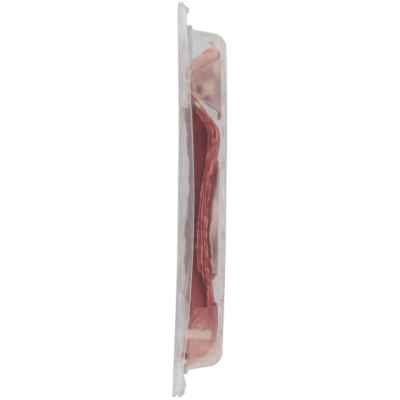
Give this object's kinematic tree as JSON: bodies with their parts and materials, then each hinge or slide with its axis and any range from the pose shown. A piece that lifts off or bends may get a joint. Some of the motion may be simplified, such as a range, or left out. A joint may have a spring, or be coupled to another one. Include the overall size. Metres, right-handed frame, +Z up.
{
  "type": "pack of cold cuts",
  "caption": "Shallow clear formed tray with a turned-down sealing flange and a clear lid film, holding overlapping folded slices of cured meat.",
  "frame": {"origin": "middle of the pack's outline, on the plane that the base rests on", "axes": "+X along the pack's length to the end away from the peel end, +Y across it, +Z up out of the lid"},
  "size_m": [0.2408, 0.1668, 0.0314],
  "materials": {
    "clear_tray": "clear glossy formed plastic sheet",
    "clear_film": "clear glossy plastic film",
    "marbled_meat": "moist pale pink cured meat with beige fat marbling",
    "dark_meat": "moist dark red cured meat with pale edges",
    "rimmed_meat": "moist red cured meat with a whitish rim of fat",
    "seed_skin": "dry yellow seed"
  },
  "bodies": {
    "root": {"tray": "clear_tray", "lid_film": "clear_film", "marbled_slice_1": "marbled_meat", "marbled_slice_2": "marbled_meat", "marbled_slice_3": "marbled_meat", "marbled_slice_4": "marbled_meat", "dark_slice_1": "dark_meat", "dark_slice_2": "dark_meat", "dark_slice_3": "dark_meat", "dark_slice_4": "dark_meat", "dark_slice_5": "dark_meat", "rimmed_slice_1": "rimmed_meat", "rimmed_slice_2": "rimmed_meat", "rimmed_slice_3": "rimmed_meat", "rimmed_slice_4": "rimmed_meat", "seed": "seed_skin"}
  },
  "joints": []
}
